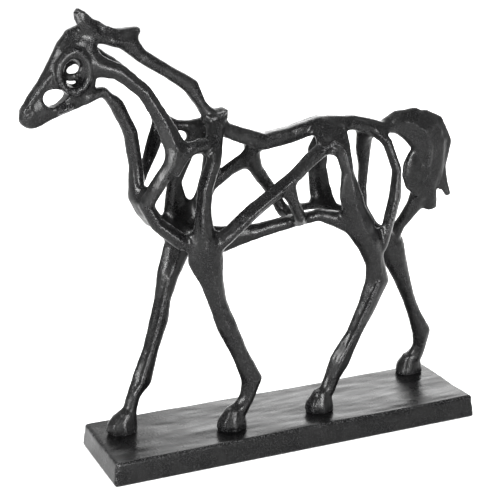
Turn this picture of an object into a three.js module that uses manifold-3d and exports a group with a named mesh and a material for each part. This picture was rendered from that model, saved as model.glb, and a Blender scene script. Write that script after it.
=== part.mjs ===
// A walking horse in openwork cast iron, on its slab plinth. Millimetres, +Z up.
// The horse faces -X. Its left side, -Y, is the near side and its right side the far one.
// The origin is the middle of the plinth's underside.

import * as THREE from "three";
import { mergeVertices } from "three/addons/utils/BufferGeometryUtils.js";
import Module from "manifold-3d";

const wasm = await Module();
wasm.setup();

// The plinth, with the draft that lets it leave a sand mould
const PLINTH_LENGTH = 305;
const PLINTH_WIDTH = 80;
const PLINTH_HEIGHT = 18;
const PLINTH_DRAFT = 2;
const PLINTH_EASE = 1;

// The horse stands on the plinth with a hairline under its hooves
const SEAT_GAP = 0.3;
const HOOF_BASE = PLINTH_HEIGHT + SEAT_GAP;

// Heights of the joints of the legs above the table
const KNEE = 103;
const HOCK = 121;
const FETLOCK = 57;
const CORONET = 35;

// Hooves: half-lengths at the ground and the coronet, and how much narrower they are across
const HOOF_HALF = 10.5;
const CORONET_HALF = 7.5;
const HOOF_ROUND = 0.78;

// The head at the eye: its half-depth, the web left between the bowls of the two eyes, the
// place of the ring round each eye, its half-sizes, and how far it stands proud
const HEAD_DEPTH = 8;
const EYE_WEB = 1.2;
const EYES = [{ side: -1, x: -161, z: 295 }, { side: 1, x: -158.5, z: 293 }];
const EYE_HALF_LONG = 9.5;
const EYE_HALF_HIGH = 12.5;
const BOWL_SHARE = 0.84;
const BOWL_FLOOR_SHARE = 0.85;
const RIM_TUBE_SHARE = 0.15;
const RIM_PROUD = 2.1;

// The openings that pierce the head from side to side: the middle of each, its half-length and
// half-width, its turn, how much it narrows toward the back, and how far its ends bend up
const EYE_LIGHT = { middle: [-159.6, 297.4], long: 5.4, wide: 2.6, turn: -0.3, narrowing: 0, bend: 0 };
const CRESCENT = { middle: [-162.3, 286.8], long: 4.2, wide: 0.9, turn: 0.4, narrowing: 0, bend: 0.07 };
const NOSE_LIGHT = { middle: [-173.4, 279.6], long: 9.2, wide: 6, turn: -0.2, narrowing: 0.4, bend: 0 };
const ROUND_SIDES = 16;

// How finely a bar is cut: sides round it, and millimetres between its rings
const BAR_SIDES = 8;
const RING_STEP = 15;

// The section of a bar: a power on the place of its corners. Above 1 the bar has a ridge along
// the middle of each face, below 1 it is flat on top and at the sides.
const ROUND = 1;
const RIDGED = 1.45;
const FLAT = 0.45;

const ACROSS = new THREE.Vector3(0, 1, 0);

// A value read at t, from 0 to 1, in a list of values spread evenly
function along(values, t) {
  const place = t * (values.length - 1);
  const index = Math.min(Math.floor(place), values.length - 2);
  return THREE.MathUtils.lerp(values[index], values[index + 1], place - index);
}

function solidOf(geometry) {
  geometry.deleteAttribute("normal");
  geometry.deleteAttribute("uv");
  const merged = mergeVertices(geometry, 1e-4);
  const vertProperties = Float32Array.from(merged.attributes.position.array);
  const triVerts = Uint32Array.from(merged.index.array);
  return new wasm.Manifold(new wasm.Mesh({ numProp: 3, vertProperties, triVerts }));
}

function geometryOf(solid) {
  const mesh = solid.getMesh();
  const geometry = new THREE.BufferGeometry();
  geometry.setAttribute("position", new THREE.BufferAttribute(mesh.vertProperties, 3));
  geometry.setIndex(new THREE.BufferAttribute(mesh.triVerts, 1));
  return geometry;
}

// Moves each point of a unit cylinder by place(side, t, across), with t from 0 to 1 along it
// and side and across from -1 to 1 in its section
function shaped(sides, rings, place) {
  const geometry = new THREE.CylinderGeometry(1, 1, 1, sides, rings);
  const position = geometry.attributes.position;
  for (let i = 0; i < position.count; i += 1) {
    const vertex = place(position.getX(i), position.getY(i) + 0.5, position.getZ(i));
    position.setXYZ(i, vertex.x, vertex.y, vertex.z);
  }
  return solidOf(geometry);
}

function toPower(value, power) {
  return Math.sign(value) * Math.abs(value) ** power;
}

// A bar of metal along a smooth curve through points. At each point it has a half-width
// in side view and a half-depth across the horse.
function bar(points, widths, depths, section = ROUND) {
  const curve = new THREE.CatmullRomCurve3(points.map((p) => new THREE.Vector3(...p)));
  const spans = points.length - 1;
  const rings = spans * Math.max(1, Math.round(curve.getLength() / spans / RING_STEP));
  return shaped(BAR_SIDES, rings, (side, t, across) => {
    const tangent = curve.getTangent(t);
    const level = ACROSS.clone().addScaledVector(tangent, -ACROSS.dot(tangent)).normalize();
    const upright = tangent.clone().cross(level);
    return curve.getPoint(t)
      .addScaledVector(upright, toPower(side, section) * along(widths, t))
      .addScaledVector(level, toPower(across, section) * along(depths, t));
  });
}

// A form lofted between an upper and a lower profile that lie in the plane of symmetry
function loft(upper, lower, depths, rings) {
  const flat = (profile) => profile.map(([x, z]) => new THREE.Vector3(x, 0, z));
  const top = new THREE.CatmullRomCurve3(flat(upper));
  const bottom = new THREE.CatmullRomCurve3(flat(lower));
  return shaped(BAR_SIDES + 2, rings, (side, t, across) => {
    const vertex = bottom.getPoint(t).lerp(top.getPoint(t), (1 + side) / 2);
    vertex.y = -across * along(depths, t);
    return vertex;
  });
}

function joined(solids) {
  return solids.reduce((whole, solid) => whole.add(solid));
}

// A cutter with the outline of an egg, level across the horse, turned in side view
function opening({ middle, long, wide, turn, narrowing, bend }) {
  const geometry = new THREE.CylinderGeometry(1, 1, 1, ROUND_SIDES);
  const position = geometry.attributes.position;
  for (let i = 0; i < position.count; i += 1) {
    const ahead = position.getX(i);
    const up = position.getZ(i) * wide * (1 - narrowing * ahead) + bend * (ahead * long) ** 2;
    position.setXYZ(i, ahead * long, position.getY(i) * HEAD_DEPTH * 4, up);
  }
  geometry.rotateY(turn);
  geometry.translate(middle[0], 0, middle[1]);
  return solidOf(geometry);
}

// The head: a slim wedge between the line of the face and the line of the jaw, with a raised
// ring round each eye. The eyes are bowls that meet in a thin web with two openings, and the
// nose is pierced from side to side.
function head() {
  const face = [[-143, 327], [-158, 328], [-169, 318], [-177, 304], [-185, 290], [-194, 279],
    [-199, 268], [-198, 262]];
  const jaw = [[-146, 278.5], [-153, 271], [-162, 267.7], [-172, 264.6], [-181, 260.7],
    [-187.5, 257.8], [-193, 258.2], [-197, 262.5]];
  const depths = [8, 8.5, 8, 7, 6, 5.5, 5, 2.5];
  let skull = loft(face, jaw, depths, 10);
  for (const { side, x, z } of EYES) {
    const rim = new THREE.TorusGeometry(1, RIM_TUBE_SHARE, 6, ROUND_SIDES);
    rim.rotateX(Math.PI / 2);
    rim.scale(EYE_HALF_LONG, RIM_PROUD / RIM_TUBE_SHARE, EYE_HALF_HIGH);
    rim.translate(x, side * HEAD_DEPTH, z);
    skull = skull.add(solidOf(rim));
  }
  for (const { side, x, z } of EYES) {
    const bowl = new THREE.CylinderGeometry(2 - BOWL_FLOOR_SHARE, BOWL_FLOOR_SHARE, HEAD_DEPTH * 2,
      ROUND_SIDES);
    bowl.rotateX(side > 0 ? 0 : Math.PI);
    bowl.scale(EYE_HALF_LONG * BOWL_SHARE, 1, EYE_HALF_HIGH * BOWL_SHARE);
    bowl.translate(x, side * (HEAD_DEPTH + EYE_WEB), z);
    skull = skull.subtract(solidOf(bowl));
  }
  return [EYE_LIGHT, CRESCENT, NOSE_LIGHT].map(opening)
    .reduce((pierced, cutter) => pierced.subtract(cutter), skull);
}

// The ears: leaves of metal, pricked forward, the far one a little behind the near one
function ears() {
  const near = bar([[-147, -4, 322], [-152.9, -5, 331.7], [-157.6, -5, 338.6]],
    [6.5, 4.4, 1.6], [3, 3, 1.4]);
  const far = bar([[-143, 4, 320], [-149.5, 5, 328.5], [-153.5, 5, 335.5]],
    [6, 4.2, 1.6], [3, 3, 1.4]);
  return [near, far];
}

// The neck: mane, a crest on each side, and the throat, with open windows between them
function neck() {
  const mane = bar(
    [[-148, 0, 321.5], [-135, 0, 318.6], [-122.2, 0, 315.5], [-110.8, 0, 303.3], [-89.7, 0, 289.9],
      [-74.6, 0, 280.1], [-67, 0, 266], [-56, 0, 253]],
    [6.5, 6.2, 7.4, 4.6, 4.6, 5.6, 3.5, 6],
    [7, 6, 5, 5, 5, 5, 5.5, 7],
    FLAT,
  );
  const forelock = bar([[-125, 0, 317.9], [-118, 0, 319.7], [-111.5, 0, 321.6]], [5.4, 4.1, 2.6],
    [5, 4.5, 3]);
  const tuft = bar([[-80, 0, 281], [-74, 0, 281.6], [-69, 0, 280.6]], [4.5, 4.1, 2.2], [4, 4, 2.5]);
  const withers = bar([[-62, 0, 252.5], [-54.2, 0, 256.5], [-47.4, 0, 259.9]], [8, 7, 3.6], [7, 7, 4]);
  const nearCrest = bar(
    [[-154, -5, 304], [-142, -7, 298.4], [-129.4, -9, 294.5], [-112.6, -11, 279.6],
      [-101.7, -16, 259.7], [-94.4, -21, 240.4]],
    [14, 8, 5.8, 5.8, 6.4, 8.8],
    [4, 5, 5, 5, 5, 5],
    RIDGED,
  );
  const farCrest = bar(
    [[-149, 5, 310], [-130, 9, 299], [-114, 11, 286], [-98.6, 13, 268.3], [-93, 15, 253],
      [-98.7, 14, 236.3], [-105.2, 10, 224], [-113, 5, 212]],
    [6, 4.2, 4.2, 4.2, 5.8, 6.2, 4.1, 4.2],
    [4, 5, 5, 5, 5, 5, 5, 5],
    RIDGED,
  );
  const throat = bar(
    [[-154, 0, 276.7], [-139, 0, 280.5], [-129.3, 0, 270.9], [-120.2, 0, 250.3], [-116.8, 0, 226],
      [-117, 0, 206]],
    [5.3, 3.8, 4.8, 5.4, 5.2, 5.8],
    [7, 6, 5.5, 5.5, 5.5, 8],
  );
  return [mane, forelock, tuft, withers, nearCrest, farCrest, throat];
}

// The chest and shoulders: an S from each crest round the breast to the elbow, the plates
// behind it, and the bar from the withers down to each foreleg
function forehand() {
  const breast = bar([[-117.7, 0, 214], [-117, 0, 204], [-111.8, 0, 194], [-104, 0, 184]],
    [3.9, 6, 6.4, 6], [7, 10, 13, 13]);
  const nearS = bar(
    [[-96, -21, 242], [-98.6, -21, 229.3], [-107.5, -17, 213.7], [-114, -12, 200], [-106.7, -14, 185.3],
      [-88, -19, 170]],
    [5, 5.5, 6.4, 6, 5.6, 6.6],
    [5, 5, 5.5, 6, 6, 6.5],
    RIDGED,
  );
  const farS = bar([[-114.2, 6, 202], [-105.8, 11, 190], [-94.7, 16, 177.3], [-83.4, 19, 165.6]],
    [5.8, 5.6, 5.4, 6.6], [5.5, 5.5, 6, 6]);
  const nearBridge = bar(
    [[-97, -21, 221], [-92, -22, 235], [-82, -21, 239.6], [-70, -17, 241]],
    [4, 7, 5.2, 5.6],
    [4, 4, 4, 5],
  );
  const farBridge = bar([[-90, 14, 255], [-80.8, 15, 249.4], [-71, 14, 248.4], [-62, 10, 250]],
    [4.3, 4.3, 4.2, 4.6], [4.5, 4.5, 4.5, 5]);
  const nearShoulder = bar(
    [[-57, -3, 255], [-61.8, -13, 242], [-65.4, -20, 228], [-73.4, -23, 211.2], [-75.5, -24, 193],
      [-75, -23, 174]],
    [6.6, 7.2, 5.9, 6.3, 6.3, 9.4],
    [6, 6, 6, 6, 6, 7],
    RIDGED,
  );
  const farShoulder = bar(
    [[-59, 4, 252], [-54, 15, 234], [-53.4, 22, 210], [-59.2, 23, 190], [-71, 21, 168]],
    [6.6, 4.8, 5.3, 5.4, 9],
    [7, 5, 5, 5, 5.5],
    RIDGED,
  );
  const farPlate = bar(
    [[-64, 10, 248], [-71.2, 19, 226.8], [-79.5, 22, 206], [-79, 22, 188], [-73.5, 21, 170]],
    [5, 6, 5.9, 10, 12],
    [5, 4.6, 4.5, 4.5, 6],
  );
  return [breast, nearS, farS, nearBridge, farBridge, nearShoulder, farShoulder, farPlate];
}

// The barrel: spine above, belly below, and ribs that wander between them on both sides
function barrel() {
  const spine = bar(
    [[-57, 0, 250.5], [-40, 0, 241.7], [-18, 0, 234.7], [3.8, 0, 238.2], [28, 0, 244.6],
      [55.7, 0, 242.2], [72, 0, 238.7], [84, 0, 233]],
    [6, 4.8, 6.1, 6, 5.6, 4.3, 4.4, 4.8],
    [7, 7, 7, 7, 8, 9, 8, 6.5],
    FLAT,
  );
  const belly = bar(
    [[-70, 15, 163], [-47, 8, 161.2], [-21, 1, 166.8], [5, -4, 172.7], [24, -10, 176.6],
      [36.8, -14, 172.9], [48.8, -18, 167]],
    [12, 10.8, 6, 5.2, 4.6, 6.4, 7.2],
    [6, 6, 5.5, 5.5, 5, 6, 7],
  );
  const farBelly = bar(
    [[3, 10, 175], [20, 15, 177], [40, 18, 176], [62, 20, 168], [84, 20, 151]],
    [3.8, 3, 3, 4.6, 5.3],
    [4.5, 4.5, 4.5, 5, 6],
  );
  const nearDiagonal = bar(
    [[-70, -22, 163], [-56, -23, 174], [-37.2, -25, 190.2], [-17, -25, 203.5], [-2, -24, 213.7],
      [9.1, -22, 222.3], [21, -20, 229.8]],
    [6.5, 6.5, 6.4, 6, 5.5, 6, 6.2],
    [6, 6, 5.5, 5.5, 5.2, 5, 5],
    RIDGED,
  );
  const nearRib = bar([[-11, -25, 207], [-3.8, -23, 192.8], [4, -17, 180], [8, -9, 173]],
    [7.5, 4.6, 5, 5.2], [5.5, 5, 5, 5], RIDGED);
  const farRibFront = bar(
    [[-24.1, 1, 233], [-26.7, 7, 221.4], [-37.5, 16, 212.5], [-50.3, 22, 199.2], [-62, 22, 178]],
    [5.6, 7.8, 5.4, 4.3, 5.4],
    [6, 5, 5, 5, 5],
    RIDGED,
  );
  const farRibBack = bar([[-26, 3, 230], [-18.7, 10, 211.6], [-4, 18, 194], [7, 14, 173]],
    [6, 5.8, 5, 5], [5.5, 5, 5, 5], RIDGED);
  const farFlank = bar(
    [[40, 6, 240], [35, 15, 222], [37.3, 20, 204], [40.2, 21, 188], [44.2, 19, 173.7]],
    [8.4, 9.4, 8.5, 9.7, 9.7],
    [6, 4, 3.6, 3.6, 4],
  );
  return [spine, belly, farBelly, nearDiagonal, nearRib, farRibFront, farRibBack, farFlank];
}

// The quarters: a plate over the croup, the stifle, and a buttock on each side
function quarters() {
  const croup = bar([[33, -5, 243], [30, -14, 236], [31, -19, 225]],
    [11, 13, 10], [6, 4.5, 4.5]);
  const stifle = bar(
    [[40.8, -8, 241], [38.4, -17, 230], [41, -22, 211.2], [42.8, -23, 194.7], [48.2, -22, 179],
      [55.6, -21, 164]],
    [6.5, 7.2, 5.2, 9.7, 9.8, 12],
    [5.5, 5, 5, 5.6, 7, 8.5],
    RIDGED,
  );
  const nearButtock = bar(
    [[72, -3, 237], [81.1, -10, 227.3], [86, -17, 207], [83.3, -20, 186], [77.8, -20, 164],
      [73, -18, 147]],
    [4.5, 4, 4, 5.5, 5, 5.6],
    [5, 5, 5, 5, 5, 6],
    RIDGED,
  );
  const farButtock = bar(
    [[68.2, 3, 236.8], [72.4, 11, 222], [76.1, 17, 204.2], [77.6, 21, 186], [79, 22, 169],
      [88, 22, 151], [99, 21, 140]],
    [7.2, 7.8, 4.8, 4, 4, 6, 10],
    [5.5, 4.5, 4.5, 4.5, 5, 5.5, 7],
    RIDGED,
  );
  return [croup, stifle, nearButtock, farButtock];
}

// A hoof under a pastern that ends over x, y: its wall slopes forward from coronet to toe
function hoof(x, y) {
  const slope = HOOF_HALF - CORONET_HALF;
  return shaped(BAR_SIDES + 2, 1, (front, t, across) => {
    const half = THREE.MathUtils.lerp(HOOF_HALF, CORONET_HALF, t);
    const height = THREE.MathUtils.lerp(HOOF_BASE, CORONET, t);
    return new THREE.Vector3(x + front * half + t * slope, y - across * half * HOOF_ROUND, height);
  });
}

// Forelegs run from elbow over knee and fetlock to the coronet, hind legs from stifle over hock
function legs() {
  const foreDepths = [7, 8, 8, 7, 7, 6, 6.5, 6, 6];
  const nearFore = bar(
    [[-74.5, -23, 174], [-73.5, -22, 158.8], [-67.7, -21, 138.8], [-63.3, -20, 122.2],
      [-56.3, -20, KNEE], [-45.6, -19, 80], [-34.4, -17, FETLOCK - 1], [-37.7, -16, 43],
      [-45, -16, CORONET - 4]],
    [11, 14.7, 9.2, 7.4, 8.1, 6.8, 9, 6.6, 7.2],
    foreDepths,
    RIDGED,
  );
  const farFore = bar(
    [[-72, 21, 172], [-78.6, 20, 156.6], [-87.1, 19, 136], [-92, 18, 118], [-95.4, 17, KNEE],
      [-103.2, 16, 80], [-111.7, 14, FETLOCK], [-118.6, 13, 47], [-123.1, 12, CORONET - 2]],
    [10.3, 11.8, 9.4, 7.2, 8, 6.7, 8.7, 5.6, 6.4],
    foreDepths.map((depth) => 0.95 * depth),
    RIDGED,
  );
  const nearHind = bar(
    [[52.4, -21, 167.2], [62, -20, 153], [67.9, -19, 137], [71.2, -18, HOCK], [63.2, -17, 100],
      [53.2, -15, 78.2], [41.6, -14, FETLOCK], [35.9, -13, 44.2], [31, -13, CORONET - 3]],
    [11.4, 10.5, 8.1, 10.9, 8.4, 7, 9.6, 7, 7.2],
    [8, 9, 8, 8, 6.5, 5.5, 6, 5.5, 6],
    RIDGED,
  );
  const farHind = bar(
    [[97, 21, 150], [105.7, 21, 134.8], [110.4, 21, HOCK], [116.8, 21, 105], [122.8, 21, 89.3],
      [128.7, 21, 74.3], [137.7, 21, FETLOCK - 2], [136.8, 22, 43], [133.6, 24, CORONET - 3]],
    [8, 12, 10.4, 7.4, 6, 5.8, 9, 6.7, 7.6],
    [6, 8, 8, 7, 6, 5.5, 6, 5.5, 6],
    RIDGED,
  );
  return [nearFore, farFore, nearHind, farHind,
    hoof(-51.5, -16), hoof(-128, 11), hoof(24.5, -13), hoof(128, 25)];
}

// The tail: arched from the croup, broad at its middle, with locks that leave its back edge
// and a tip that runs down into the far hind leg
function tail() {
  const dock = bar(
    [[81, 0, 236.8], [93, 0, 240], [107, 1, 237.6], [119.6, 2, 229.6], [127, 4, 218], [126.8, 6, 203],
      [126, 7, 188], [122.4, 8, 176]],
    [4.6, 9, 13.7, 16.3, 15.8, 16.5, 12.2, 7.8],
    [6, 6, 6, 6, 6, 6, 6, 6],
  );
  const tip = bar([[123, 8, 184], [118.5, 10, 168], [109.9, 15, 152.9], [107, 19, 142]],
    [7, 6.6, 4.3, 4.6], [6, 5, 5, 5]);
  const innerLock = bar([[122, 6, 200], [114.5, 6, 197.6], [108.6, 6, 195.4]],
    [10, 8.6, 5.8], [6, 5, 3.5]);
  const lock = bar([[127, 6, 190], [131, 7, 178], [133.6, 8, 165]], [8, 6.5, 5], [5.5, 5, 4]);
  const outerLock = bar(
    [[118.2, 3, 242.5], [134.5, 5, 236.4], [144.9, 8, 219], [142, 9, 199], [145, 9, 184],
      [149.9, 9, 174.2]],
    [6, 5.2, 4.8, 4, 3.6, 2.6],
    [4.5, 4, 4, 4, 3.5, 3],
  );
  return [dock, tip, lock, innerLock, outerLock];
}

// The plinth: a solid slab, drafted on all sides, with the top edge eased
function plinth() {
  const levels = [
    { height: 0, inset: 0 },
    { height: PLINTH_HEIGHT - PLINTH_EASE, inset: PLINTH_DRAFT },
    { height: PLINTH_HEIGHT, inset: PLINTH_DRAFT + PLINTH_EASE },
  ];
  const geometry = new THREE.BoxGeometry(2, 2, 2, 1, 1, 2);
  const position = geometry.attributes.position;
  for (let i = 0; i < position.count; i += 1) {
    const { height, inset } = levels[Math.round(position.getZ(i)) + 1];
    const x = position.getX(i) * (PLINTH_LENGTH / 2 - inset);
    const y = position.getY(i) * (PLINTH_WIDTH / 2 - inset);
    position.setXYZ(i, x, y, height);
  }
  return solidOf(geometry);
}

const horse = joined([head(), ...ears(), ...neck(), ...forehand(), ...barrel(),
  ...quarters(), ...legs(), ...tail()]);

const iron = new THREE.MeshStandardMaterial({ color: 0x18181a, roughness: 0.5, metalness: 0.7 });

function piece(name, solid) {
  const mesh = new THREE.Mesh(geometryOf(solid), iron);
  mesh.name = name;
  return mesh;
}

const model = new THREE.Group();
model.add(piece("horse", horse), piece("plinth", plinth()));

export default model;
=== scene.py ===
import bpy
from mathutils import Matrix, Vector


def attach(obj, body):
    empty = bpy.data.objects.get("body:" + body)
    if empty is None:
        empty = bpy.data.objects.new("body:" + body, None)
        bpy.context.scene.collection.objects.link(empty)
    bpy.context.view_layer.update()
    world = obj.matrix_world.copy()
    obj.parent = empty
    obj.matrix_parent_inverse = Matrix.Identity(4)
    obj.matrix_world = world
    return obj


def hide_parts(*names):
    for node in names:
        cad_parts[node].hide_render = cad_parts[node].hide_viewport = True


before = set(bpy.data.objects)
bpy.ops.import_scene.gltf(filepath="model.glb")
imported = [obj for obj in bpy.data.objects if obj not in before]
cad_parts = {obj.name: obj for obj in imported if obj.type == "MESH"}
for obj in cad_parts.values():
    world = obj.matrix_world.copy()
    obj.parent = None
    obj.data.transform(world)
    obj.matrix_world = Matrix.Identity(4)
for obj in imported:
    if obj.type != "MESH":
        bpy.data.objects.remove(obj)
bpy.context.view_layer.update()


# The viewpoint: a long lens before the horse's near side, a little ahead of the
# shoulder and a hand above the plinth, as the horse is photographed.
eye = Vector((-0.40977, -0.85043, 0.43906))
target = Vector((-0.02846, 0.0, 0.1527))
bpy.ops.object.camera_add(location=eye)
camera = bpy.context.object
camera.rotation_euler = (target - eye).to_track_quat("-Z", "Y").to_euler()
camera.data.sensor_width = 36
camera.data.lens = 93.79
bpy.context.scene.camera = camera


# The studio: a white table in a white room. Two tall narrow boxes draw the crisp lines
# down the bars. A wide one low behind lights the top of the plinth, and one above it the
# spine and the mane.
TABLE_WIDE = 40
TABLE_DROP = 0.0002
TABLE_WHITE = (0.93, 0.93, 0.93, 1)
ROOM_GLOW = 0.75
ROOM_LEAN = (0, 0.4, 0.5)
LIT_POINT = Vector((0, 0, 0.17))
bpy.ops.mesh.primitive_plane_add(size=TABLE_WIDE, location=(0, 0, -TABLE_DROP))
table = bpy.context.object
table.name = "white_table"
white = bpy.data.materials.new("white_table")
white.use_nodes = True
table_shader = white.node_tree.nodes["Principled BSDF"]
table_shader.inputs["Base Color"].default_value = TABLE_WHITE
table_shader.inputs["Roughness"].default_value = 0.9
table.data.materials.append(white)
room = bpy.data.worlds.new("white_room")
room.use_nodes = True
room_nodes, room_links = room.node_tree.nodes, room.node_tree.links
walls = room_nodes.new("ShaderNodeTexCoord")
toward_light = room_nodes.new("ShaderNodeVectorMath")
toward_light.operation = "DOT_PRODUCT"
toward_light.inputs[1].default_value = ROOM_LEAN
glow = room_nodes.new("ShaderNodeMath")
glow.inputs[1].default_value = ROOM_GLOW
room_links.new(walls.outputs["Generated"], toward_light.inputs[0])
room_links.new(toward_light.outputs["Value"], glow.inputs[0])
room_links.new(glow.outputs["Value"], room_nodes["Background"].inputs["Strength"])
room_nodes["Background"].inputs["Color"].default_value = (1, 1, 1, 1)
bpy.context.scene.world = room
bpy.context.scene.view_settings.view_transform = "Standard"


def soft_box(name, place, wide, high, power):
    bpy.ops.object.light_add(type="AREA", location=place)
    box = bpy.context.object
    box.name = name
    box.rotation_euler = (LIT_POINT - Vector(place)).to_track_quat("-Z", "Y").to_euler()
    box.data.shape = "RECTANGLE"
    box.data.size = wide
    box.data.size_y = high
    box.data.energy = power


soft_box("left_strip", (-1.75, -1.1, 0.75), 0.2, 0.8, 105)
soft_box("front_strip", (0.0, -2.1, 0.6), 0.14, 1.0, 100)
soft_box("back_box", (0.85, 1.3, 0.62), 1.0, 0.8, 13)
soft_box("top_box", (0.35, 1.1, 1.5), 1.4, 0.7, 20)


# The black of horse and plinth: sand-cast iron, blackened and wiped with dark wax. Its
# sand grain sparkles, and bare specks come through, most where the ridges are rubbed.
WAX_THICK = (0.0008, 0.0008, 0.0009, 1)
WAX_THIN = (0.0028, 0.0028, 0.0028, 1)
BARE_IRON = (0.1, 0.1, 0.102, 1)
MOTTLE_SCALE, SPECK_SCALE = 60, 1300
MOTTLE_FROM, MOTTLE_TO = 0.3, 0.7
RIDGE_FROM, RIDGE_TO = 0.51, 0.6
SPECK_FROM, SPECK_TO = 0.52, 0.66
LEAST_WEAR = 0.08
MIX_FACTOR, MIX_COATED, MIX_BARE, MIX_RESULT = 0, 6, 7, 2


def cast_iron(name, specular, grain, grain_depth, roughness):
    iron = bpy.data.materials.new(name)
    iron.use_nodes = True
    nodes, links = iron.node_tree.nodes, iron.node_tree.links
    shader = nodes["Principled BSDF"]
    shader.inputs["Specular IOR Level"].default_value = specular
    place = nodes.new("ShaderNodeTexCoord")
    mottle = nodes.new("ShaderNodeTexNoise")
    mottle.inputs["Scale"].default_value = MOTTLE_SCALE
    mottle.inputs["Detail"].default_value = 4
    links.new(place.outputs["Object"], mottle.inputs["Vector"])
    tone = nodes.new("ShaderNodeValToRGB")
    tone.color_ramp.elements[0].position = MOTTLE_FROM
    tone.color_ramp.elements[0].color = WAX_THICK
    tone.color_ramp.elements[1].position = MOTTLE_TO
    tone.color_ramp.elements[1].color = WAX_THIN
    links.new(mottle.outputs["Fac"], tone.inputs["Fac"])
    skin_shape = nodes.new("ShaderNodeNewGeometry")
    wear = nodes.new("ShaderNodeMapRange")
    wear.inputs["From Min"].default_value = RIDGE_FROM
    wear.inputs["From Max"].default_value = RIDGE_TO
    wear.inputs["To Min"].default_value = LEAST_WEAR
    links.new(skin_shape.outputs["Pointiness"], wear.inputs["Value"])
    specks = nodes.new("ShaderNodeTexNoise")
    specks.inputs["Scale"].default_value = SPECK_SCALE
    specks.inputs["Detail"].default_value = 1
    links.new(place.outputs["Object"], specks.inputs["Vector"])
    bare = nodes.new("ShaderNodeMapRange")
    bare.inputs["From Min"].default_value = SPECK_FROM
    bare.inputs["From Max"].default_value = SPECK_TO
    links.new(specks.outputs["Fac"], bare.inputs["Value"])
    worn = nodes.new("ShaderNodeMath")
    worn.operation = "MULTIPLY"
    links.new(wear.outputs["Result"], worn.inputs[0])
    links.new(bare.outputs["Result"], worn.inputs[1])
    skin = nodes.new("ShaderNodeMix")
    skin.data_type = "RGBA"
    skin.inputs[MIX_BARE].default_value = BARE_IRON
    links.new(worn.outputs["Value"], skin.inputs[MIX_FACTOR])
    links.new(tone.outputs["Color"], skin.inputs[MIX_COATED])
    links.new(skin.outputs[MIX_RESULT], shader.inputs["Base Color"])
    sheen = nodes.new("ShaderNodeMapRange")
    sheen.inputs["From Min"].default_value = MOTTLE_FROM
    sheen.inputs["From Max"].default_value = MOTTLE_TO
    sheen.inputs["To Min"].default_value = roughness[0]
    sheen.inputs["To Max"].default_value = roughness[1]
    links.new(mottle.outputs["Fac"], sheen.inputs["Value"])
    links.new(sheen.outputs["Result"], shader.inputs["Roughness"])
    sand = nodes.new("ShaderNodeTexNoise")
    sand.inputs["Scale"].default_value = grain
    sand.inputs["Detail"].default_value = 3
    links.new(place.outputs["Object"], sand.inputs["Vector"])
    relief = nodes.new("ShaderNodeBump")
    relief.inputs["Distance"].default_value = grain_depth
    links.new(sand.outputs["Fac"], relief.inputs["Height"])
    links.new(relief.outputs["Normal"], shader.inputs["Normal"])
    return iron


horse_iron = cast_iron("black_cast_iron", specular=0.12, grain=900, grain_depth=0.00014,
                       roughness=(0.22, 0.34))
plinth_iron = cast_iron("waxed_cast_iron", specular=0.09, grain=500, grain_depth=0.00012,
                        roughness=(0.22, 0.32))


# The plinth: a solid slab of the same iron, drafted to leave its sand mould, with soft
# edges and a top that keeps the shallow waves of the board it was levelled with.
def pick_up(piece):
    bpy.ops.object.select_all(action="DESELECT")
    piece.select_set(True)
    bpy.context.view_layer.objects.active = piece


def work_over(piece, kind, **settings):
    pick_up(piece)
    modifier = piece.modifiers.new(kind.lower(), kind)
    for name, value in settings.items():
        setattr(modifier, name, value)
    bpy.ops.object.modifier_apply(modifier=modifier.name)


def put_down(piece):
    pick_up(piece)
    bpy.ops.object.transform_apply(location=True, rotation=True, scale=True)


def swell(piece, depth, share, **settings):
    """Moves the skin along its normals, by a share of depth that differs from place to place."""
    group = piece.vertex_groups.new(name="share")
    for vertex in piece.data.vertices:
        group.add([vertex.index], share(vertex.co), "REPLACE")
    work_over(piece, "DISPLACE", strength=depth, vertex_group="share", **settings)
    piece.vertex_groups.clear()


def climb(value, start, length):
    """0 up to start, 1 from a length past it, and even between them."""
    return min(max((value - start) / length, 0), 1)


PLINTH_LONG = 0.305
PLINTH_WIDE = 0.080
PLINTH_HIGH = 0.018
PLINTH_DRAFT = 0.0044
SOFT_EDGE = 0.0012
PLINTH_REGROWTH = 0.00022
WAVE_STRETCH = 3.5
WAVE_MIDDLE = 0.55
FACING_UP = 0.9
VOXEL = 0.0012
bpy.ops.object.select_all(action="DESELECT")
bpy.ops.mesh.primitive_cube_add(size=PLINTH_HIGH, location=(0, 0, PLINTH_HIGH / 2))
plinth = bpy.context.object
plinth.name = "cast_plinth"
bpy.ops.object.mode_set(mode="EDIT")
bpy.ops.transform.resize(value=(PLINTH_LONG / PLINTH_HIGH, PLINTH_WIDE / PLINTH_HIGH, 1))
bpy.ops.mesh.select_mode(type="FACE")
bpy.ops.mesh.select_all(action="DESELECT")
bpy.ops.object.mode_set(mode="OBJECT")
for face in plinth.data.polygons:
    face.select = face.normal.z > FACING_UP
bpy.ops.object.mode_set(mode="EDIT")
bpy.ops.transform.resize(value=(1 - PLINTH_DRAFT / PLINTH_LONG, 1 - PLINTH_DRAFT / PLINTH_WIDE, 1))
bpy.ops.mesh.select_all(action="SELECT")
bpy.ops.mesh.bevel(offset=SOFT_EDGE, segments=3, affect="EDGES")
bpy.ops.object.mode_set(mode="OBJECT")
put_down(plinth)
work_over(plinth, "REMESH", mode="VOXEL", voxel_size=VOXEL)
work_over(plinth, "SMOOTH", factor=0.5, iterations=2)
swell(plinth, PLINTH_REGROWTH, lambda point: climb(point.z, start=0.0005, length=0.001),
      mid_level=0)
bpy.ops.object.select_all(action="DESELECT")
bpy.ops.object.empty_add(location=(0, 0, 0))
board = bpy.context.object
board.scale = (WAVE_STRETCH, 1, 1)
bpy.context.view_layer.update()
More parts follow.
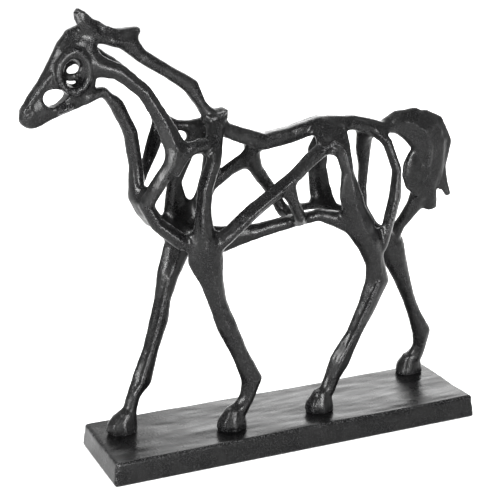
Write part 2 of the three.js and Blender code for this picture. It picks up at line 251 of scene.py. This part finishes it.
for name, size, depth in (("board_waves", 0.02, 0.0018), ("board_strokes", 0.006, 0.0004)):
    waves = bpy.data.textures.new(name, "CLOUDS")
    waves.noise_scale = size
    swell(plinth, depth, lambda point: climb(point.z, start=0.012, length=0.005), texture=waves,
          mid_level=WAVE_MIDDLE, texture_coords="OBJECT", texture_coords_object=board)
bpy.data.objects.remove(board)
bpy.ops.object.shade_smooth()
plinth.data.materials.append(plinth_iron)
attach(plinth, "root")
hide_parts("plinth")


# The strands of wax that the horse is built up with: a small ring is pushed out from
# point to point, turned to the way it goes and thinned or swelled as it goes. Their
# points and half widths are in millimetres.
MM = 1000


def turn(piece_centre, before, after):
    swing = (after @ before.inverted()).to_euler("XYZ")
    for axis, angle in zip("XYZ", swing):
        bpy.ops.transform.rotate(value=-angle, orient_axis=axis, center_override=piece_centre)


def heading(way, across):
    level = (across - way * across.dot(way)).normalized()
    return Matrix((level.cross(way), level, way)).transposed()


def strand(path, halves, across=(0, 1, 0), flat=1.0, sides=6):
    points = [Vector(p) / MM for p in path]
    ways = [(points[min(i + 1, len(points) - 1)] - points[max(i - 1, 0)]).normalized()
            for i in range(len(points))]
    facing = [heading(way, Vector(across)) for way in ways]
    bpy.ops.object.select_all(action="DESELECT")
    bpy.ops.mesh.primitive_circle_add(vertices=sides, radius=halves[0] / MM,
                                      fill_type="NGON", location=points[0])
    piece = bpy.context.object
    bpy.ops.object.mode_set(mode="EDIT")
    bpy.ops.transform.resize(value=(1, flat, 1), center_override=points[0])
    turn(points[0], Matrix.Identity(3), facing[0])
    for i in range(1, len(points)):
        bpy.ops.mesh.extrude_region_move(
            TRANSFORM_OT_translate={"value": points[i] - points[i - 1]})
        turn(points[i], facing[i - 1], facing[i])
        growth = halves[i] / halves[i - 1]
        bpy.ops.transform.resize(value=(growth,) * 3, center_override=points[i])
    bpy.ops.mesh.select_all(action="SELECT")
    bpy.ops.mesh.normals_make_consistent(inside=False)
    bpy.ops.object.mode_set(mode="OBJECT")
    put_down(piece)
    return piece


wax = []


# The head's finer forms, in wax on both sides: a swollen lid round the eye, thickest at
# the brow, a ridge down the nose, a nostril, and a swelling of the jaw.
LID = ((1.0, 0.0), (0.88, 0.5), (0.5, 0.95), (0.05, 1.05), (-0.45, 0.88), (-0.85, 0.48),
       (-1.0, 0.0), (-0.85, -0.52), (-0.42, -0.92), (0.12, -1.0), (0.62, -0.8), (0.93, -0.4),
       (1.0, 0.0))
LID_HALVES = (2.1, 2.4, 2.6, 2.4, 2.2, 2.1, 2.1, 2.0, 2.0, 2.0, 2.0, 2.0, 2.1)
LID_LONG = 10.8
LID_HIGH = 13.2
LID_OUT = 8.6
LID_TUCK = 0.4
for side, eye_x, eye_z in ((-1, -161.5, 296.2), (1, -159, 294.2)):
    wax.append(strand(
        [(eye_x + LID_LONG * ahead, side * (LID_OUT - LID_TUCK * abs(up)), eye_z + LID_HIGH * up)
         for ahead, up in LID], LID_HALVES, sides=8))
    wax.append(strand(
        [(-176, side * 5.8, 296), (-180.5, side * 5.8, 291), (-185.3, side * 5.3, 285),
         (-189.5, side * 4.8, 279.5), (-192.5, side * 4.4, 275)],
        [0.7, 1.5, 1.9, 1.8, 1.4], sides=4))
    wax.append(strand(
        [(-190.6, side * 4.8, 273), (-194, side * 4.4, 273.6), (-196, side * 3.8, 270.5),
         (-194.6, side * 4.2, 267), (-191.4, side * 4.9, 268), (-190, side * 5, 270.6)],
        [1.5, 1.7, 1.7, 1.6, 1.5, 1.3]))
    wax.append(strand([(-173, side * 4.6, 269), (-168, side * 5.4, 271), (-162.5, side * 5.8, 273)],
                      [1.3, 2.2, 1.4]))


# The ears: two pricked leaves, each with a rim of wax raised on both edges and a vein
# inside. The far one stands a little behind the near one, and lower.
for back, down, side in ((0, 0, -1), (4.3, -3.2, 1)):
    for line, halves in (
            (((-153.6, 5.4, 325), (-156.8, 6.2, 328.6), (-158.8, 6, 333), (-158.2, 5, 336.8)),
             (1.2, 1.3, 1.2, 0.9)),
            (((-145.4, 5, 328), (-148.6, 6, 331.8), (-152.8, 6.2, 335.4), (-157.4, 5, 337)),
             (1.4, 1.4, 1.3, 0.9)),
            (((-151, 5.6, 328), (-154.6, 5.9, 332.6)), (0.9, 0.8))):
        wax.append(strand([(x + back, side * y, z + down) for x, y, z in line], halves))


# The mane: ropes of wax laid over the poll and behind it, and round the withers, on the
# near side and the far one.
for rope, halves in (
        (((-148, -3.2, 331), (-142.9, -4, 328), (-138, -4.6, 324.6), (-128, -4.2, 321.4)),
         (1.2, 1.6, 1.7, 1.2)),
        (((-138, -5, 316), (-128, -5, 314.4), (-118, -4.4, 313), (-112, -4, 307)),
         (1.0, 1.5, 1.6, 1.0)),
        (((-146, 4, 329), (-138, 4.8, 324), (-124, 4.4, 321)), (1.2, 1.7, 1.2)),
        *((((-66, -3, level - 2), (-61.5, -7.8, level - 1), (-53, -7.8, level + 1),
            (-47.5, -3, level + 3)), (0.9, 1.5, 1.5, 0.9)) for level in (248, 253, 258)),
        *((((-66, 3, level - 2), (-59, 7.4, level), (-51, 6.4, level + 2)), (0.9, 1.4, 0.9))
          for level in (250, 256))):
    wax.append(strand(rope, halves))


# The tops of spine and mane: bands of wax, pressed flat, that run from the withers to the
# dock and down the back of the neck.
FLAT_SIDE_UP = (0, 1, 1)
for band, halves in (
        (((-52, 0, 250.4), (-40, 0, 243.6), (-18, 0, 236.2), (3.8, 0, 239.6), (28, 0, 245.4),
          (55.7, 0, 243.4), (72, 0, 239.6), (86, 0, 235.6)),
         (4.2, 6.2, 6.6, 6.6, 7.0, 7.0, 6.6, 5.0)),
        (((-122, 0, 319), (-110.8, 0, 305.6), (-89.7, 0, 292.4), (-77, 0, 284.6)),
         (2.8, 3.2, 3.2, 2.6))):
    wax.append(strand(band, halves, across=FLAT_SIDE_UP, sides=4))


# The tail: locks of wax that lie over the dock and down both faces, and a full, flat one
# that swells the inner edge.
for rope, halves in (
        (((92, -4, 239), (104, -4.2, 240), (117, -3.2, 232.5), (124, -1.4, 218), (124.5, 0.6, 203),
          (125, 1.8, 190)), (1.4, 2.3, 2.6, 2.4, 2.0, 1.4)),
        (((124, -0.4, 237), (134, 1, 229.5), (139, 3.6, 216), (139, 4.6, 198), (137, 4.8, 184)),
         (1.1, 1.7, 1.9, 1.8, 1.2)),
        (((92, 4.8, 239), (108, 6.4, 237), (121, 7.6, 226), (124, 10, 205), (123, 11.6, 186)),
         (1.4, 2.3, 2.6, 2.3, 1.4)),
        (((124, 7.8, 236), (135, 9.8, 226), (139, 12.2, 208), (137.6, 12.8, 188)),
         (1.1, 1.8, 1.9, 1.2))):
    wax.append(strand(rope, halves))
wax.append(strand(
    [(119, 3, 219), (114.6, 3, 212), (111.2, 3, 204), (110.6, 3, 197), (113.4, 3.4, 189),
     (121, 4, 180)], [4.0, 6.4, 7.6, 8.0, 7.2, 4.6], flat=0.4, sides=16))


# The ridges that the bars were drawn down to with the finger, on the side that shows:
# crest and chest, shoulder, flank, stifle, buttock and the fronts of two legs.
for line, halves in (
        (((-129, -13, 294), (-112.6, -15.2, 279.6), (-101.7, -20.2, 259.7), (-95, -25.4, 240),
          (-98.6, -25.2, 229.3), (-107.5, -21.6, 213.7), (-114, -17, 200), (-106.7, -19, 185.3),
          (-92, -24, 173)), (1.2, 1.9, 2.0, 2.1, 1.9, 2.0, 1.9, 1.9, 1.2)),
        (((-64, -18, 242), (-68, -25.2, 228), (-75.4, -28.4, 211.2), (-78, -29.4, 193),
          (-78, -29.6, 176)), (1.2, 1.9, 2.0, 2.0, 1.3)),
        (((-56, -28, 174), (-37.2, -30, 190.2), (-17, -30, 203.5), (-2, -28.6, 213.7),
          (9, -26.6, 222)), (1.2, 1.8, 1.8, 1.7, 1.1)),
        (((20, -24.4, 230), (30, -22.6, 234), (38, -22, 228), (41, -26.4, 211.2),
          (43.4, -28, 194.7), (46, -28, 182)), (1.2, 1.9, 2.1, 2.0, 2.1, 1.2)),
        (((72, -7, 237), (80, -14.6, 227.3), (85, -21.4, 207), (82.3, -24.4, 186), (77, -24.6, 164),
          (73, -23, 149)), (1.1, 1.8, 2.0, 2.0, 1.8, 1.1)),
        (((68, -26, 122), (60.6, -23, 101), (51, -20, 78), (39.6, -19.4, 58), (34.6, -17.8, 45)),
         (1.2, 1.9, 1.9, 2.1, 1.3)),
        (((-88.6, 11.6, 136), (-93.6, 11.4, 118), (-97.2, 10.6, 103), (-104.6, 10.4, 80),
          (-113.2, 8.2, 57), (-120, 8, 46)), (1.2, 1.9, 2.0, 1.9, 2.2, 1.3))):
    wax.append(strand(line, halves, sides=4))


# The hooves: one modelled in wax, four set. The wall is eight-sided, bulges above the sole
# and closes over to a coronet that runs up into the pastern. Each ring of it has a height,
# a half length and a shift toward the heel.
HOOF_RINGS = ((18.3, 11.8, 0.4), (22, 12.2, -0.4), (26.5, 11.2, -0.4), (30.5, 9.2, 1.0),
              (33.5, 7.0, 3.2), (37, 5.2, 5.4))
HOOF_SHARE_ACROSS = 0.76
HOOF_PLACES = ((-50.5, -16), (-129, 11.5), (25.5, -13), (130.5, 27))
sole_height, sole_half, sole_shift = HOOF_RINGS[0]
bpy.ops.object.select_all(action="DESELECT")
bpy.ops.mesh.primitive_circle_add(vertices=8, radius=sole_half / MM, fill_type="NGON",
                                  location=(sole_shift / MM, 0, sole_height / MM))
hoof = bpy.context.object
bpy.ops.object.mode_set(mode="EDIT")
bpy.ops.transform.resize(value=(1, HOOF_SHARE_ACROSS, 1))
for (low, broad, lean), (high, narrow, more) in zip(HOOF_RINGS, HOOF_RINGS[1:]):
    bpy.ops.mesh.extrude_region_move(
        TRANSFORM_OT_translate={"value": ((more - lean) / MM, 0, (high - low) / MM)})
    step = narrow / broad
    bpy.ops.transform.resize(value=(step, step, 1), center_override=(more / MM, 0, high / MM))
bpy.ops.mesh.select_all(action="SELECT")
bpy.ops.mesh.normals_make_consistent(inside=False)
bpy.ops.object.mode_set(mode="OBJECT")
put_down(hoof)
for x, y in HOOF_PLACES:
    shoe = hoof.copy()
    shoe.data = hoof.data.copy()
    bpy.context.collection.objects.link(shoe)
    shoe.location = (x / MM, y / MM, 0)
    put_down(shoe)
    wax.append(shoe)
bpy.data.objects.remove(hoof)


# The horse: one openwork iron casting. Its strands were fused in the wax, so every joint
# is filled to a soft web, and a crescent was cut aslant through the head under the eyes.
# The whole was gone over by hand before it was cast, so it keeps lumps and dents.
def fillet_share(point):
    """How much of the fillet a place gets: none on the head, all on the body, less by a hoof."""
    head = climb(-point.x, start=0.13, length=0.008) * climb(point.z, start=0.255, length=0.01)
    by_hoof = climb(-point.z, start=-0.06, length=0.015)
    return (1 - head) * (1 - LOST_BY_HOOF * by_hoof)


FILLET = 0.003
LOST_BY_HOOF = 0.7
FINE_VOXEL = 0.001
HORSE_REGROWTH = 0.0003
CRESCENT = ((-166.4, 0, 291), (-164.4, 0, 289), (-161.6, 0, 288), (-158.6, 0, 288.4),
            (-156.4, 0, 289.6))
CRESCENT_HALVES = (0.6, 1.1, 1.2, 1.1, 0.6)
CRESCENT_REACH = 13
KEPT_FACES = 0.58
horse = bpy.data.objects.new("cast_horse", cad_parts["horse"].data.copy())
bpy.context.collection.objects.link(horse)
pick_up(horse)
bpy.ops.object.mode_set(mode="EDIT")
bpy.ops.mesh.select_all(action="SELECT")
bpy.ops.mesh.remove_doubles(threshold=0.00001)
bpy.ops.object.mode_set(mode="OBJECT")
work_over(horse, "REMESH", mode="VOXEL", voxel_size=VOXEL)
swell(horse, FILLET, fillet_share, mid_level=0)
work_over(horse, "REMESH", mode="VOXEL", voxel_size=VOXEL)
swell(horse, -FILLET, fillet_share, mid_level=0)
pick_up(horse)
for piece in wax:
    piece.select_set(True)
bpy.ops.object.join()
work_over(horse, "REMESH", mode="VOXEL", voxel_size=FINE_VOXEL)
blade = strand(CRESCENT, CRESCENT_HALVES, across=target - eye, flat=CRESCENT_REACH, sides=8)
work_over(horse, "BOOLEAN", operation="DIFFERENCE", object=blade, solver="EXACT")
bpy.data.objects.remove(blade)
work_over(horse, "REMESH", mode="VOXEL", voxel_size=FINE_VOXEL)
work_over(horse, "SMOOTH", factor=0.5, iterations=2)
work_over(horse, "DISPLACE", strength=HORSE_REGROWTH, mid_level=0)
for name, size, depth in (("wax_lumps", 0.01, 0.0007), ("tool_dents", 0.003, 0.0003)):
    marks = bpy.data.textures.new(name, "CLOUDS")
    marks.noise_scale = size
    work_over(horse, "DISPLACE", texture=marks, strength=depth, mid_level=0.5)
work_over(horse, "DECIMATE", ratio=KEPT_FACES)
bpy.ops.object.shade_smooth()
horse.data.materials.clear()
horse.data.materials.append(horse_iron)
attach(horse, "root")
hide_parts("horse")
